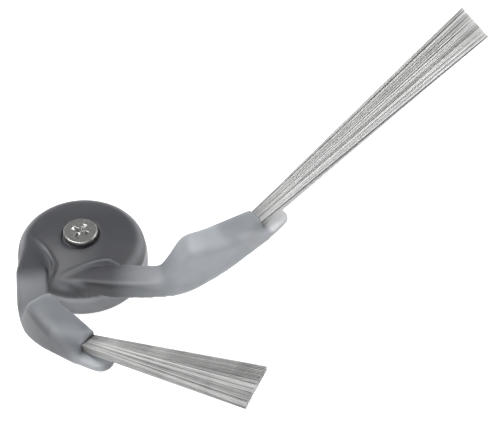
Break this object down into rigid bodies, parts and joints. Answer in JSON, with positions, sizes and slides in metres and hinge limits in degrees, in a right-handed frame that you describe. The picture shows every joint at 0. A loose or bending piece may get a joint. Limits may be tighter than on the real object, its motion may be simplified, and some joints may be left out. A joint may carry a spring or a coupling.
{
  "type": "robot vacuum side brush",
  "caption": "Sweeping side brush for a robot vacuum: a round soft hub with curved arms that end in splayed bristle tufts, a stiff core with a square drive socket, and a fixing screw.",
  "frame": {"origin": "on the drive axis, in the plane of the skirt's lower face", "axes": "+Z along the drive axis, from the drive socket towards the screw head; +X along the first arm's neck"},
  "size_m": [0.0893, 0.0984, 0.0517],
  "materials": {
    "soft_grey": "translucent satin moulding",
    "dark_core": "moulded",
    "plated_steel": "nickel plated",
    "nylon": "drawn filament"
  },
  "bodies": {
    "root": {"brush_body": "soft_grey", "hub_core": "dark_core", "fixing_screw": "plated_steel", "bristle_tuft_1": "nylon", "bristle_tuft_2": "nylon"}
  },
  "joints": []
}
